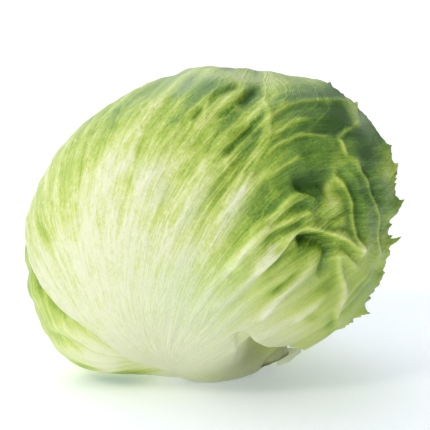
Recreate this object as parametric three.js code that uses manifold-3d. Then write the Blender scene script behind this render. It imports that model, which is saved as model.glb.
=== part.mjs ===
// An iceberg (crisphead) lettuce head, trimmed at the butt and lying on its base.
// Millimetres, +Z up, +X to the right of the head's best side, +Y away from it.
// The head is a rounded body. Every leaf is a thin closed shell that follows the body's
// surface, and each leaf lies just inside the leaves listed before it.

import * as THREE from "three";
import { mergeVertices } from "three/addons/utils/BufferGeometryUtils.js";
import Module from "manifold-3d";

const wasm = await Module();
wasm.setup();

// ---- Driving dimensions -------------------------------------------------------------

const DEGREE = Math.PI / 180;

// The middle of the head, above the surface that it lies on.
const headCentre = new THREE.Vector3(-0.5, 0, 76.2);
// The head's largest outline lies in a plane that leans back by this angle.
const outlineLean = 12 * DEGREE;
// Radii of that outline, anticlockwise from the right in equal steps.
const outlineRadii = [90.5, 94.5, 90.5, 79.5, 77, 75, 78.5, 84.5, 93, 97.5, 99, 83, 80.5, 79, 82.5, 86];
// The head's half-depth, square to its outline.
const halfDepth = 81;

// The stem: the middle of its cut end, its radii and how far it reaches into the head.
const cutEnd = new THREE.Vector3(24, -12, 5.4);
const stemRadius = 15;
const stemTopRadius = 8;
const stemLength = 62;
const stemEdge = 1.2;
const stemGap = 0.4;
const stemFacets = 28;
// The stem keeps its full width over the first part of its length and its top width from the second.
const stemFullTo = 0.2;
const stemNarrowFrom = 0.8;

// One leaf and the air under it, and how far past its margin a leaf still holds the next one down.
const leafThickness = 0.9;
const marginThickness = 0.5;
const leafPitch = 2.9;
const holdFrom = 2;
const holdTo = 15;

// How far the frilled right edge of the front leaf stands off the head. The frill starts and
// ends over these turns round the leaf, and rises over the outermost part of the blade.
const frillHeight = 3.5;
const frillStart = [200, 225];
const frillEnd = [275, 300];
const frillFrom = 0.8;

// To the right of the cut end the head's underside draws back from the stem.
const hollowToward = new THREE.Vector3(49, -6, -62).normalize();
const hollowDepth = 8;
const hollowWidth = 13 * DEGREE;

// The stub of a leaf that was trimmed off beside the cut end.
const stubMiddle = new THREE.Vector3(40.6, -4, 5);
const stubLength = 9;
const stubHeight = 8;
const stubThickness = 1.8;
const stubTurn = 15 * DEGREE;

// The heart's rings of points from top to bottom, and points in each ring.
const heartRings = 14;
const heartSpokes = 24;

// ---- The head's surface -------------------------------------------------------------

const across = new THREE.Vector3(1, 0, 0);
const upAlong = new THREE.Vector3(0, Math.sin(outlineLean), Math.cos(outlineLean));
const outOf = new THREE.Vector3(0, -Math.cos(outlineLean), Math.sin(outlineLean));

// The value at this angle of a closed curve through equally spaced radii.
function radiusAt(radii, angle) {
  const turn = (((angle / (2 * Math.PI)) % 1) + 1) % 1;
  const place = turn * radii.length;
  const first = Math.floor(place);
  const f = place - first;
  const [a, b, c, d] = [-1, 0, 1, 2].map((step) => radii[(first + step + radii.length) % radii.length]);
  return b + 0.5 * f * (c - a + f * (2 * a - 5 * b + 4 * c - d + f * (3 * (b - c) + d - a)));
}

// The distance from the head's middle to its surface. The underside is flat where it lies.
function headRadius(direction) {
  const u = direction.dot(across);
  const v = direction.dot(upAlong);
  const w = direction.dot(outOf);
  const outline = radiusAt(outlineRadii, Math.atan2(v, u));
  const free = 1 / Math.sqrt((u * u + v * v) / outline ** 2 + (w / halfDepth) ** 2);
  const fromHollow = direction.angleTo(hollowToward) / hollowWidth;
  const toFloor = direction.z < 0 ? headCentre.z / -direction.z : Infinity;
  return Math.min(free - hollowDepth * Math.exp(-(fromHollow ** 2)), toFloor);
}

// A direction from degrees round the head, 0 at the front and 90 at the right, and degrees up.
function facing(round, up) {
  const level = Math.cos(up * DEGREE);
  return new THREE.Vector3(
    Math.sin(round * DEGREE) * level,
    -Math.cos(round * DEGREE) * level,
    Math.sin(up * DEGREE),
  );
}

const stemDirection = cutEnd.clone().sub(headCentre).normalize();

// ---- Leaves -------------------------------------------------------------------------

// Each leaf is a patch round its middle. Its reach is in degrees seen from the head's middle,
// starting at the tip, which points away from the stem, and going anticlockwise from outside.
const frontReach = [118, 118, 116, 93, 69, 53, 63, 76, 86, 86, 88, 90, 91, 100, 112, 116];

const outerLeaves = [
  { name: "front_leaf", round: 0, up: 5, reach: frontReach, rings: 11, spokes: 36, frill: frillHeight },
  { name: "left_under_leaf", round: -125, up: -42, reach: [62, 64, 70, 76, 76, 74, 70, 64] },
  { name: "right_under_leaf", round: 98, up: -12, reach: [66, 58, 52, 56, 62, 60, 58, 62] },
  { name: "back_left_leaf", round: -152, up: 22, reach: [60, 62, 64, 66, 80, 66, 62, 60] },
  { name: "back_right_leaf", round: 148, up: 10, reach: [62, 60, 60, 62, 72, 60, 58, 60] },
  { name: "low_back_leaf", round: 172, up: -34, reach: [60, 58, 56, 50, 52, 50, 56, 58] },
  { name: "top_back_leaf", round: 170, up: 66, reach: [52, 58, 66, 70, 74, 70, 66, 58] },
];

// Inside them, the leaves that close the head follow each other round the stem by this angle.
const leafTurn = 137.5;
const innerCount = 8;
const innerReach = [66, 70, 72, 70, 68, 70, 72, 70];
const innerUp = 8;

function innerLeaves() {
  return Array.from({ length: innerCount }, (_, i) => ({
    name: `head_leaf_${i + 1}`,
    round: 40 + leafTurn * i,
    up: innerUp,
    reach: innerReach,
    rings: 6,
    spokes: 22,
    holdsAllRound: true,
  }));
}

// A leaf's own directions: its middle, the way to its tip and the way to its left side.
function withChart(leaf) {
  const middle = facing(leaf.round, leaf.up);
  const tip = middle.clone().multiplyScalar(stemDirection.dot(middle)).sub(stemDirection).normalize();
  const side = new THREE.Vector3().crossVectors(middle, tip);
  return { rings: 8, spokes: 28, frill: 0, holdsAllRound: false, ...leaf, middle, tip, side };
}

const leaves = [...outerLeaves, ...innerLeaves()].map(withChart);

function leafDirection(leaf, turn, away) {
  return leaf.middle
    .clone()
    .multiplyScalar(Math.cos(away))
    .addScaledVector(leaf.tip, Math.sin(away) * Math.cos(turn))
    .addScaledVector(leaf.side, Math.sin(away) * Math.sin(turn));
}

// 1 under a leaf, falling to 0 a little way past its margin. The leaves that close the head
// are packed into even layers, so each of them holds the next one down all round.
function cover(leaf, direction) {
  if (leaf.holdsAllRound) return 1;
  const away = Math.acos(THREE.MathUtils.clamp(direction.dot(leaf.middle), -1, 1)) / DEGREE;
  const turn = Math.atan2(direction.dot(leaf.side), direction.dot(leaf.tip));
  return 1 - THREE.MathUtils.smoothstep(away - radiusAt(leaf.reach, turn), holdFrom, holdTo);
}

// How far below the head's surface the next leaf lies, under the leaves before it.
function depthUnder(direction, before) {
  return leafPitch * leaves.slice(0, before).reduce((sum, leaf) => sum + cover(leaf, direction), 0);
}

// The frill is only along the right edge of a leaf that has one.
function frillAt(leaf, turn, share) {
  const degrees = turn / DEGREE;
  const started = THREE.MathUtils.smoothstep(degrees, ...frillStart);
  const ended = THREE.MathUtils.smoothstep(degrees, ...frillEnd);
  return leaf.frill * (started - ended) * THREE.MathUtils.smoothstep(share, frillFrom, 1);
}

// The two sides of a leaf as one closed shell: rings of points round its middle, outside then inside.
function leafShell(leaf, index) {
  const points = [];
  const triangles = [];
  const place = (ring, spoke, below) => {
    const turn = (spoke / leaf.spokes) * 2 * Math.PI;
    const share = ring / leaf.rings;
    const away = radiusAt(leaf.reach, turn) * share * DEGREE;
    const direction = leafDirection(leaf, turn, away);
    const thickness = THREE.MathUtils.lerp(leafThickness, marginThickness, share ** 3);
    const depth = depthUnder(direction, index) - frillAt(leaf, turn, share) + (below ? thickness : 0);
    return headCentre.clone().addScaledVector(direction, headRadius(direction) - depth);
  };
  for (const below of [false, true]) {
    const start = points.length;
    points.push(place(0, 0, below));
    for (let ring = 1; ring <= leaf.rings; ring++) {
      for (let spoke = 0; spoke < leaf.spokes; spoke++) points.push(place(ring, spoke, below));
    }
    const at = (ring, spoke) => start + 1 + (ring - 1) * leaf.spokes + (spoke % leaf.spokes);
    const add = (a, b, c) => triangles.push(...(below ? [a, c, b] : [a, b, c]));
    for (let spoke = 0; spoke < leaf.spokes; spoke++) {
      add(start, at(1, spoke), at(1, spoke + 1));
      for (let ring = 1; ring < leaf.rings; ring++) {
        add(at(ring, spoke), at(ring + 1, spoke), at(ring + 1, spoke + 1));
        add(at(ring, spoke), at(ring + 1, spoke + 1), at(ring, spoke + 1));
      }
    }
  }
  const half = points.length / 2;
  const outerRim = half - leaf.spokes;
  for (let spoke = 0; spoke < leaf.spokes; spoke++) {
    const next = (spoke + 1) % leaf.spokes;
    const [a, b] = [outerRim + spoke, outerRim + next];
    triangles.push(a, a + half, b + half, a, b + half, b);
  }
  return solidFrom(points.flatMap((p) => p.toArray()), triangles);
}

// ---- Solids -------------------------------------------------------------------------

function solidFrom(vertices, triangles) {
  const mesh = new wasm.Mesh({
    numProp: 3,
    vertProperties: new Float32Array(vertices),
    triVerts: new Uint32Array(triangles),
  });
  return new wasm.Manifold(mesh);
}

function solidFromGeometry(geometry) {
  const bare = geometry.clone();
  bare.deleteAttribute("normal");
  bare.deleteAttribute("uv");
  const merged = mergeVertices(bare);
  return solidFrom(merged.attributes.position.array, merged.index.array);
}

function geometryFrom(solid) {
  const mesh = solid.getMesh();
  const geometry = new THREE.BufferGeometry();
  geometry.setAttribute("position", new THREE.BufferAttribute(mesh.vertProperties, 3));
  geometry.setIndex(new THREE.BufferAttribute(mesh.triVerts, 1));
  geometry.computeVertexNormals();
  return geometry;
}

// The stem stands on its cut end here, along +Y, before it is turned into the head.
function stemGeometry(extra) {
  const profile = [
    [0, -extra],
    [stemRadius - stemEdge + extra, -extra],
    [stemRadius + extra, stemEdge - extra],
    [stemRadius + extra, stemLength * stemFullTo],
    [stemTopRadius + extra, stemLength * stemNarrowFrom],
    [stemTopRadius / 2 + extra, stemLength + extra],
    [0, stemLength + extra],
  ];
  const outline = profile.map(([r, y]) => new THREE.Vector2(r, y));
  const geometry = new THREE.LatheGeometry(outline, stemFacets);
  const turned = new THREE.Quaternion().setFromUnitVectors(
    new THREE.Vector3(0, 1, 0),
    stemDirection.clone().negate(),
  );
  geometry.applyQuaternion(turned);
  geometry.translate(...cutEnd.toArray());
  return geometry;
}

// What the stem keeps clear in the leaves and the heart, and the same again below its cut end.
function stemRoom() {
  const room = solidFromGeometry(stemGeometry(stemGap));
  const downward = stemDirection.clone().multiplyScalar(stemLength * stemFullTo);
  const below = solidFromGeometry(stemGeometry(stemGap).translate(...downward.toArray()));
  return room.add(below);
}

// The heart is the mass of small leaves pressed together inside the head leaves.
function heartShell() {
  const [rings, spokes] = [heartRings, heartSpokes];
  const points = [];
  const triangles = [];
  const place = (ring, spoke) => {
    const direction = facing((spoke / spokes) * 360, 90 - (ring / rings) * 180);
    const radius = headRadius(direction) - depthUnder(direction, leaves.length) - leafPitch;
    return headCentre.clone().addScaledVector(direction, radius);
  };
  points.push(place(0, 0));
  for (let ring = 1; ring < rings; ring++) {
    for (let spoke = 0; spoke < spokes; spoke++) points.push(place(ring, spoke));
  }
  points.push(place(rings, 0));
  const at = (ring, spoke) => 1 + (ring - 1) * spokes + (spoke % spokes);
  const last = points.length - 1;
  for (let spoke = 0; spoke < spokes; spoke++) {
    triangles.push(0, at(1, spoke), at(1, spoke + 1));
    triangles.push(last, at(rings - 1, spoke + 1), at(rings - 1, spoke));
    for (let ring = 1; ring < rings - 1; ring++) {
      triangles.push(at(ring, spoke), at(ring + 1, spoke), at(ring + 1, spoke + 1));
      triangles.push(at(ring, spoke), at(ring + 1, spoke + 1), at(ring, spoke + 1));
    }
  }
  return solidFrom(points.flatMap((p) => p.toArray()), triangles);
}

// A short curved flap, standing on edge and turned a little to face the front.
function stubGeometry() {
  const outline = new THREE.Shape();
  const [left, right] = [-stubLength / 2, stubLength / 2];
  const [low, high] = [-stubHeight / 2, stubHeight / 2];
  outline.moveTo(left, low / 2);
  outline.quadraticCurveTo(0, low * 1.2, right, low * 0.7);
  outline.lineTo(right * 0.7, high);
  outline.quadraticCurveTo(0, high * 0.7, left, high);
  outline.closePath();
  const geometry = new THREE.ExtrudeGeometry(outline, {
    depth: stubThickness,
    curveSegments: 5,
    bevelEnabled: false,
  });
  geometry.rotateX(Math.PI / 2);
  geometry.rotateZ(stubTurn);
  geometry.translate(...stubMiddle.toArray());
  return geometry;
}

// ---- The head -----------------------------------------------------------------------

const head = new THREE.Group();

// Waxy leaves are a little glossier than cut flesh.
function leafMaterial(color) {
  return new THREE.MeshStandardMaterial({ color, roughness: 0.45, metalness: 0 });
}

const outerGreen = leafMaterial(0xa9c66b);
const innerGreen = leafMaterial(0xdbe6a6);
const heartYellow = leafMaterial(0xeef0bd);
const paleBase = leafMaterial(0xdfe6b0);
const cutFlesh = new THREE.MeshStandardMaterial({ color: 0xd9dcb4, roughness: 0.6, metalness: 0 });

function addPiece(name, solid, material) {
  const mesh = new THREE.Mesh(geometryFrom(solid), material);
  mesh.name = name;
  head.add(mesh);
}

const room = stemRoom();
leaves.forEach((leaf, index) => {
  const material = index < outerLeaves.length ? outerGreen : innerGreen;
  addPiece(leaf.name, leafShell(leaf, index).subtract(room), material);
});
addPiece("heart", heartShell().subtract(room), heartYellow);
addPiece("leaf_stub", solidFromGeometry(stubGeometry()), paleBase);
addPiece("stem", solidFromGeometry(stemGeometry(0)), cutFlesh);

export default head;
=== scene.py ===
import math

import bpy
import numpy as np
from mathutils import Matrix, Vector


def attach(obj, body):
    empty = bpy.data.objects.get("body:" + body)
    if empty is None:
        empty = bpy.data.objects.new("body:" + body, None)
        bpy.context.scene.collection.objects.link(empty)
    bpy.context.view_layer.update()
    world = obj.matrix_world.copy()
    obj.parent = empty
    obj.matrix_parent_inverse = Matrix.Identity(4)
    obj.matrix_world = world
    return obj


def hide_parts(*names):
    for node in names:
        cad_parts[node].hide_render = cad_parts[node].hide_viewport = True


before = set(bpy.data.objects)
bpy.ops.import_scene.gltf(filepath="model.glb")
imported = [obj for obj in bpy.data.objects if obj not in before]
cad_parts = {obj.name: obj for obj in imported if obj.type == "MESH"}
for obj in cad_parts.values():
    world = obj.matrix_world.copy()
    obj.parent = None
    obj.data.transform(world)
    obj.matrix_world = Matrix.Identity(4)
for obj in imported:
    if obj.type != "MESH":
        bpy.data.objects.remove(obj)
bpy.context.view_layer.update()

# An iceberg lettuce head lying on its base. Sizes are in millimetres until a mesh is made.
# The head is a rounded body; every leaf is a thin shell that follows it, each leaf lying
# just inside the leaves before it.
MM = 0.001

# ---- The head's size ------------------------------------------------------------------

HEAD_CENTRE = np.array([-0.5, 0.0, 76.2])
OUTLINE_LEAN = math.radians(12)
OUTLINE_RADII = np.array(
    [90.5, 94.5, 90.5, 79.5, 77, 75, 78.5, 84.5, 93, 97.5, 99, 83, 80.5, 79, 82.5, 86]
)
HALF_DEPTH = 81.0
CUT_END = np.array([24.0, -12.0, 5.4])
STEM_RADIUS = 15.0
HOLLOW_TOWARD = np.array([49.0, -6.0, -62.0])
HOLLOW_DEPTH = 8.0
HOLLOW_WIDTH = math.radians(13)
LEAF_PITCH = 2.9
HOLD_FROM, HOLD_TO = 2.0, 15.0

ACROSS = np.array([1.0, 0.0, 0.0])
UP_ALONG = np.array([0.0, math.sin(OUTLINE_LEAN), math.cos(OUTLINE_LEAN)])
OUT_OF = np.array([0.0, -math.cos(OUTLINE_LEAN), math.sin(OUTLINE_LEAN)])


# ---- Small tools ------------------------------------------------------------------------

def unit(v):
    v = np.asarray(v, float)
    return v / np.linalg.norm(v, axis=-1, keepdims=True)


def rise(x, low, high):
    """0 up to low, 1 from high on, and a smooth step between."""
    t = np.clip((np.asarray(x, float) - low) / (high - low), 0, 1)
    return t * t * (3 - 2 * t)


def closed_curve(radii, angle):
    """The value at an angle in radians of a smooth closed curve through equally spaced radii."""
    radii = np.asarray(radii, float)
    place = np.mod(angle / (2 * math.pi), 1) * len(radii)
    first = np.floor(place).astype(int)
    f = place - first
    a, b, c, d = (radii[(first + step) % len(radii)] for step in (-1, 0, 1, 2))
    return b + 0.5 * f * (c - a + f * (2 * a - 5 * b + 4 * c - d + f * (3 * (b - c) + d - a)))


def smooth_path(points, steps=8):
    """A smooth open line through the points, as more points."""
    p = np.asarray(points, float)
    p = np.vstack([2 * p[0] - p[1], p, 2 * p[-1] - p[-2]])
    f = (np.arange(steps) / steps)[:, None]
    parts = []
    for a, b, c, d in zip(p[:-3], p[1:-2], p[2:-1], p[3:]):
        parts.append(b + 0.5 * f * (c - a + f * (2 * a - 5 * b + 4 * c - d + f * (3 * (b - c) + d - a))))
    return np.vstack([*parts, p[-2][None]])


LATTICE = np.random.default_rng(11).uniform(-1, 1, (64, 64, 64))


def noise(points):
    """Smooth random values from -1 to 1, with about one bump to a unit of length."""
    cell = np.floor(points).astype(int)
    f = points - cell
    f = f * f * (3 - 2 * f)
    total = 0.0
    for corner in np.ndindex(2, 2, 2):
        weight = np.prod(np.where(corner, f, 1 - f), axis=-1)
        at = (cell + corner) % 64
        total = total + weight * LATTICE[at[..., 0], at[..., 1], at[..., 2]]
    return total


# ---- The head's surface -----------------------------------------------------------------

def head_radius(direction):
    """How far the head's surface is from its middle. The underside is flat where it lies."""
    u, v, w = (direction @ axis for axis in (ACROSS, UP_ALONG, OUT_OF))
    outline = closed_curve(OUTLINE_RADII, np.arctan2(v, u))
    free = 1 / np.sqrt((u * u + v * v) / outline**2 + (w / HALF_DEPTH) ** 2)
    off_hollow = np.arccos(np.clip(direction @ unit(HOLLOW_TOWARD), -1, 1)) / HOLLOW_WIDTH
    down = np.maximum(-direction[..., 2], 1e-6)
    return np.minimum(free - HOLLOW_DEPTH * np.exp(-(off_hollow**2)), HEAD_CENTRE[2] / down)


def facing(round_head, up):
    """A direction from degrees round the head, 0 at the front and 90 at the right, and degrees up."""
    r, e = math.radians(round_head), math.radians(up)
    return np.array([math.sin(r) * math.cos(e), -math.cos(r) * math.cos(e), math.sin(e)])


STEM_DIRECTION = unit(CUT_END - HEAD_CENTRE)


# ---- Leaves -----------------------------------------------------------------------------

# Reaches are in degrees seen from the head's middle, from the tip round anticlockwise. The
# front leaf holds down the leaves under it as far as its reach, and its own blade stands away
# from them and stops short of that at the right.
FRONT_REACH = [118, 118, 116, 93, 69, 53, 63, 76, 86, 86, 88, 90, 91, 100, 112, 116]
FRONT_MARGIN = [118, 118, 116, 93, 69, 53, 63, 76, 84, 83, 81, 78, 77, 82, 100, 114]
INNER_REACH = [66, 70, 72, 70, 68, 70, 72, 70]
LEAF_TURN = 137.5
INNER_COUNT = 8
INNER_UP = 8

# Where the front leaf's grid starts, low on its front, and where its ribs and those of the leaf
# beside it fan out, underneath.
FRONT_GRID_FROM = facing(0, -20)
FRONT_RIBS_FROM = unit(np.array([-22.0, -48.0, 10.0]) - HEAD_CENTRE)
UNDER_RIBS_FROM = unit(np.array([0.0, -50.0, 10.0]) - HEAD_CENTRE)
# Other leaves' ribs fan out this far from the stem, or this share of the way to the margin.
HEEL_AWAY = math.radians(34)
HEEL_SHARE = 0.84
# How a rib of the front leaf swings sideways by the time it is 100 degrees from where the ribs
# fan out, by the degrees across the fan at which it starts.
FAN_START = np.array(
    [-180, -110, -80, -60, -40, -30, -24, -20, -15, -8, 4, 14, 22, 32, 44, 58, 80, 110, 180]
)
FAN_SWING = np.array(
    [0, -20, -35, -45, -45, -40, -26, -15, -3, 10, 26, 24, 30, 44, 42, 34, 20, 0, 0]
)


def frame_at(start, aim):
    """The directions ahead and to the right, for someone at start who looks toward aim."""
    ahead = unit(aim - start * (aim @ start))
    return ahead, np.cross(ahead, start)


class Leaf:
    """One leaf: its outline round its middle, the start of its grid, and where its ribs fan out."""

    def __init__(
        self, name, round_head, up, reach, size, closes=False, grid=None, ribs=None, margin=None
    ):
        self.name = name
        self.is_front = name == "front_leaf"
        self.seed = sum(map(ord, name))
        self.reach = np.array(reach, float)
        self.margin = np.array(margin or reach, float)
        self.columns, self.rows = size
        self.closes = closes
        self.middle = facing(round_head, up)
        self.tip = unit(self.middle * (STEM_DIRECTION @ self.middle) - STEM_DIRECTION)
        self.side = np.cross(self.middle, self.tip)
        to_stem = math.acos(STEM_DIRECTION @ self.middle)
        inside = math.radians(HEEL_SHARE * closed_curve(reach, math.pi))
        turn = min(to_stem - HEEL_AWAY, inside)
        heel = math.cos(turn) * self.middle - math.sin(turn) * self.tip
        self.grid_from = heel if grid is None else grid
        self.ribs_from = heel if ribs is None else ribs
        aim = self.middle if margin is None else np.array([0.0, 0.0, 1.0])
        self.ahead, self.right = frame_at(self.grid_from, aim)
        self.ribs_ahead, self.ribs_right = frame_at(self.ribs_from, aim)

    def away_and_turn(self, direction):
        """How many degrees from the leaf's middle a direction lies, and its turn from the tip."""
        away = np.degrees(np.arccos(np.clip(direction @ self.middle, -1, 1)))
        return away, np.arctan2(direction @ self.side, direction @ self.tip)

    def share(self, direction):
        """How far out in the leaf a direction lies, 1 at its margin."""
        away, turn = self.away_and_turn(direction)
        return away / closed_curve(self.margin, turn)

    def cover(self, direction):
        """1 under the leaf, falling to 0 a little way past its margin."""
        if self.closes:
            return 1.0
        away, turn = self.away_and_turn(direction)
        return 1 - rise(away - closed_curve(self.reach, turn), HOLD_FROM, HOLD_TO)

    def direction(self, along, across):
        """The direction at degrees along a column of the grid and degrees across the columns."""
        b, a = np.radians(along), np.radians(across)
        sideways = np.cos(a)[..., None] * self.ahead + np.sin(a)[..., None] * self.right
        return np.cos(b)[..., None] * self.grid_from + np.sin(b)[..., None] * sideways

    def ribs(self, direction):
        """How many degrees along a rib each direction lies, and across the fan that rib starts."""
        along = np.degrees(np.arccos(np.clip(direction @ self.ribs_from, -1, 1)))
        across = np.degrees(np.arctan2(direction @ self.ribs_right, direction @ self.ribs_ahead))
        if not self.is_front:
            return along, across
        swung = FAN_START + FAN_SWING * np.minimum(along / 100, 1.2)[..., None] ** 2
        parts = np.clip((across[..., None] - swung[..., :-1]) / np.diff(swung), 0, 1)
        return along, FAN_START[0] + parts @ np.diff(FAN_START)


FRONT_LEAF = Leaf(
    "front_leaf", 0, 5, FRONT_REACH, (429, 207),
    grid=FRONT_GRID_FROM, ribs=FRONT_RIBS_FROM, margin=FRONT_MARGIN,
)
UNDER_REACH = [62, 64, 70, 76, 76, 74, 70, 64]
OUTER = [
    FRONT_LEAF,
    Leaf("left_under_leaf", -125, -42, UNDER_REACH, (300, 150), ribs=UNDER_RIBS_FROM),
    Leaf("right_under_leaf", 98, -12, [66, 58, 52, 56, 62, 60, 58, 62], (270, 135)),
    Leaf("back_left_leaf", -152, 22, [60, 62, 64, 66, 80, 66, 62, 60], (240, 120)),
    Leaf("back_right_leaf", 148, 10, [62, 60, 60, 62, 72, 60, 58, 60], (240, 120)),
    Leaf("low_back_leaf", 172, -34, [60, 58, 56, 50, 52, 50, 56, 58], (210, 105)),
    Leaf("top_back_leaf", 170, 66, [52, 58, 66, 70, 74, 70, 66, 58], (240, 120)),
]
INNER = [
    Leaf(f"head_leaf_{i + 1}", 40 + LEAF_TURN * i, INNER_UP, INNER_REACH, (81, 42), closes=True)
    for i in range(INNER_COUNT)
]
LEAVES = OUTER + INNER


def depth_under(direction, before):
    """How far below the head's surface a leaf lies, under the leaves before it."""
    layers = np.zeros(direction.shape[:-1])
    for leaf in LEAVES[:before]:
        layers = layers + leaf.cover(direction)
    return LEAF_PITCH * layers


# Rows stand a little closer together toward the margin.
ROW_CROWDING = 0.85
FURTHEST_ALONG = 176


def fan_grid(leaf):
    """The leaf's grid: degrees along and across for each row and column, and the share out."""
    spread = np.linspace(-180, 180, 1441)
    middles = (spread[1:] + spread[:-1]) / 2
    # Columns stand closest together at the right, where the front leaf has its folds.
    wanted = 0.35 + 0.55 * rise(middles, -135, -110) + 0.3 * rise(middles, -25, 0)
    wanted = wanted - 0.8 * rise(middles, 125, 150)
    total = np.concatenate([[0], np.cumsum(wanted)])
    across = np.interp(np.arange(leaf.columns) / leaf.columns * total[-1], total, spread)
    # The margin is found between the first degree along each column that is past it and the last
    # one that isn't.
    steps = np.arange(2.0, FURTHEST_ALONG)[:, None]
    shares = leaf.share(leaf.direction(steps + 0 * across, across + 0 * steps))
    past = shares > 1
    first = np.where(past.any(0), past.argmax(0), len(steps) - 1).clip(1)
    columns = np.arange(len(across))
    low, high = shares[first - 1, columns], shares[first, columns]
    edge = steps[first, 0] - 1 + np.clip((1 - low) / np.maximum(high - low, 1e-6), 0, 1)
    out = (np.arange(1, leaf.rows + 1) / leaf.rows)[:, None] ** ROW_CROWDING
    along = out * edge
    return along, across + 0 * along, out + 0 * along


# ---- Meshes -----------------------------------------------------------------------------

# The inner side of a leaf, which barely shows, has a vertex for every third of the outer side's.
INNER_STEP = 3


def inner_part(grid):
    return grid[INNER_STEP - 1 :: INNER_STEP, ::INNER_STEP]


def quads(first, rows, columns):
    r, c = np.meshgrid(np.arange(rows - 1), np.arange(columns), indexing="ij")
    near, far = first + r * columns, first + (r + 1) * columns
    after = (c + 1) % columns
    return np.stack([near + c, near + after, far + after, far + c], -1).reshape(-1, 4)


def cap(centre, first, columns):
    c = np.arange(columns)
    return np.stack([0 * c + centre, first + (c + 1) % columns, first + c], -1)


def rim_faces(rim, inner_rim, columns):
    """The strip that joins the outer side's last row to the inner side's."""
    inner_columns = columns // INNER_STEP
    c = np.arange(inner_columns)
    here, after = inner_rim + c, inner_rim + (c + 1) % inner_columns
    steps = [rim + (INNER_STEP * c + k) % columns for k in range(INNER_STEP + 1)]
    turn = INNER_STEP // 2
    faces = [np.stack([steps[turn], after, here], -1)]
    for k in range(INNER_STEP):
        faces.append(np.stack([steps[k], steps[k + 1], here if k < turn else after], -1))
    return np.vstack(faces)


def shell(name, outside, inside, top, bottom, layers):
    """A closed leaf from its outer grid, its inner grid and the two sides' middle points."""
    rows, columns = outside.shape[:2]
    inner_rows, inner_columns = inside.shape[:2]
    second = rows * columns
    points = np.vstack([outside.reshape(-1, 3), inside.reshape(-1, 3), top[None], bottom[None]])
    faces = [
        *quads(0, rows, columns).tolist(),
        *quads(second, inner_rows, inner_columns)[:, ::-1].tolist(),
        *cap(len(points) - 2, 0, columns).tolist(),
        *cap(len(points) - 1, second, inner_columns)[:, ::-1].tolist(),
        *rim_faces(second - columns, len(points) - 2 - inner_columns, columns).tolist(),
    ]
    flat = {}
    for key, grid in layers.items():
        width = grid.shape[2] if grid.ndim == 3 else 1
        inner = inner_part(grid)
        parts = (grid, inner, grid[0, 0], inner[0, 0])
        flat[key] = np.concatenate([part.reshape(-1, width) for part in parts])
        if width == 1:
            flat[key] = flat[key].ravel()
    return add_piece(name, points, faces, flat)


def add_piece(name, points, faces, layers):
    """A smooth mesh piece from points in millimetres, with values or vectors for each point."""
    mesh = bpy.data.meshes.new(name)
    mesh.from_pydata((points * MM).tolist(), [], faces)
    mesh.polygons.foreach_set("use_smooth", np.ones(len(faces), bool))
    for key, values in layers.items():
        vector = values.ndim == 2
        layer = mesh.attributes.new(key, "FLOAT_VECTOR" if vector else "FLOAT", "POINT")
        layer.data.foreach_set("vector" if vector else "value", values.astype(np.float32).ravel())
    mesh.update()
    piece = bpy.data.objects.new(name, mesh)
    bpy.context.scene.collection.objects.link(piece)
    return piece


def body(name, grid, layers):
    """A closed body from a grid whose columns close on themselves, capped at both ends."""
    rows, columns = grid.shape[:2]
    points = np.vstack([grid.reshape(-1, 3), grid[0].mean(0)[None], grid[-1].mean(0)[None]])
    faces = [
        *quads(0, rows, columns).tolist(),
        *cap(rows * columns, 0, columns).tolist(),
        *cap(rows * columns + 1, (rows - 1) * columns, columns)[:, ::-1].tolist(),
    ]
    flat = {}
    for key, values in layers.items():
        ends = np.array([values[0].mean(), values[-1].mean()])
        flat[key] = np.concatenate([values.ravel(), ends])
    return add_piece(name, points, faces, flat)


# ---- Folds of the front leaf --------------------------------------------------------------

VIEW_WIDTH = 215.0
CAMERA_AWAY = 900.0
# The middle of the view, from the head's middle.
VIEW_RIGHT, VIEW_UP = 1.0, 2.85


def front_view(places):
    """Where places are seen from the front, right of and above the head's middle, and how far
    each is in front of it."""
    u, v, w = ((places - HEAD_CENTRE) @ axis for axis in (ACROSS, UP_ALONG, OUT_OF))
    scale = CAMERA_AWAY / (CAMERA_AWAY - w)
    return VIEW_RIGHT + (u - VIEW_RIGHT) * scale, VIEW_UP + (v - VIEW_UP) * scale, w


# Each fold runs along a line drawn as seen from the front. It has a height, how wide it is on the left
# and on the right of the line's run, and how much greener it makes the leaf. A fold of negative height
# is a hollow, and its greener tint is painted shade. The paler tint of crests and their edges is painted
# highlight, and the paler tint of veins is their own colour. These lines are run by more than one fold.
SHOULDER = [(16, -12), (21, -3), (29, 3), (37, 10), (41, 12)]
POCKET_LIP = [
    (23.5, -24.5), (29, -19), (34, -14), (39, -7), (44, -4), (50, -4.5), (58, -6.5), (67, -10.5),
    (72, -16),
]
NOSE = [(67, 18), (69, 13), (70, 7), (70, 0), (71, -6), (72, -13), (74, -20)]
OUTER_CREST = [(73, 25), (76, 21), (79, 15), (82, 6), (83.5, -1), (83, -9), (82, -19)]
OVERHANG = [(21, -62.5), (27, -65), (36, -65), (46, -67), (56, -66)]

# The greener column paints shade into hollows and a paler highlight onto crests and their edges.
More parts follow.
